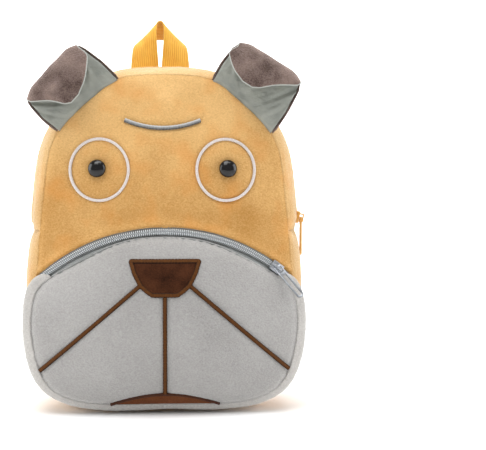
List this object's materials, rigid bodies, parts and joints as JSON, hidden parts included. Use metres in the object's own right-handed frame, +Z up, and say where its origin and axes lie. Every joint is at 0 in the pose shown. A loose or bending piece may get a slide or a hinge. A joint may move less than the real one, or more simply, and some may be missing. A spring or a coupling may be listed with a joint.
{
  "type": "kids backpack",
  "caption": "Small plush backpack shaped like a dog's head, with folded ears, a zipped muzzle pocket, padded shoulder straps and a carry loop.",
  "frame": {"origin": "centre of the flat base, on the floor", "axes": "+Z up, -Y towards the dog's face, +Y towards the wearer's back, +X to the viewer's right when looking at the face"},
  "size_m": [0.2197, 0.129, 0.3085],
  "materials": {
    "yellow_plush": "short-pile plush, honey yellow",
    "grey_plush": "short-pile plush, light grey",
    "brown_plush": "short-pile plush, brown-grey",
    "nose_plush": "dark brown velvet",
    "brown_thread": "brown satin stitch",
    "white_thread": "off-white satin stitch",
    "grey_thread": "grey satin stitch",
    "grey_satin": "grey-green satin lining",
    "grey_tape": "woven zip tape, grey",
    "grey_coil": "nylon zip coil, light grey",
    "yellow_tape": "woven zip tape and coil, yellow",
    "yellow_webbing": "woven polypropylene webbing, yellow",
    "black_button": "moulded eye, glossy black",
    "grey_metal": "zinc alloy, painted light grey",
    "yellow_metal": "zinc alloy, painted yellow",
    "khaki_plastic": "moulded acetal, khaki"
  },
  "bodies": {
    "bag": {"face_panel": "yellow_plush", "back_panel": "yellow_plush", "gusset_lower": "yellow_plush", "gusset_top_front": "yellow_plush", "gusset_top_rear": "yellow_plush", "main_zip_tape": "yellow_tape", "main_zip_coil": "yellow_tape", "pocket_panel": "grey_plush", "pocket_rim": "grey_plush", "pocket_zip_coil": "grey_coil", "pocket_zip_tape_upper": "grey_tape", "pocket_zip_tape_lower": "grey_tape", "eye_ring_left": "white_thread", "eye_ring_right": "white_thread", "eye_button_left": "black_button", "eye_button_right": "black_button", "brow_line": "grey_thread", "nose_patch": "nose_plush", "mouth_patch": "nose_plush", "mouth_line_centre": "brown_thread", "mouth_line_left": "brown_thread", "mouth_line_right": "brown_thread", "ear_plush_left": "brown_plush", "ear_plush_right": "brown_plush", "ear_lining_left": "grey_satin", "ear_lining_right": "grey_satin", "main_zip_slider": "yellow_metal", "pocket_zip_slider": "grey_metal", "carry_loop": "yellow_webbing", "strap_left": "brown_plush", "strap_right": "brown_plush", "strap_stub_left": "yellow_webbing", "strap_stub_right": "yellow_webbing", "buckle_left": "khaki_plastic", "buckle_right": "khaki_plastic", "strap_webbing_left": "yellow_webbing", "strap_webbing_right": "yellow_webbing"},
    "main_pull": {"main_zip_pull": "yellow_metal"},
    "pocket_pull": {"pocket_zip_pull": "grey_metal"}
  },
  "joints": [
    {"name": "main_pull_swing", "type": "hinge", "parent": "bag", "child": "main_pull", "pos_m": [0.10823, 0.00283, 0.14712], "axis": [0, -1, 0], "range_deg": [0, 160]},
    {"name": "pocket_pull_swing", "type": "hinge", "parent": "bag", "child": "pocket_pull", "pos_m": [0.0859, -0.0378, 0.10987], "axis": [-0.8088, -0.2328, -0.54], "range_deg": [0, 140]}
  ]
}
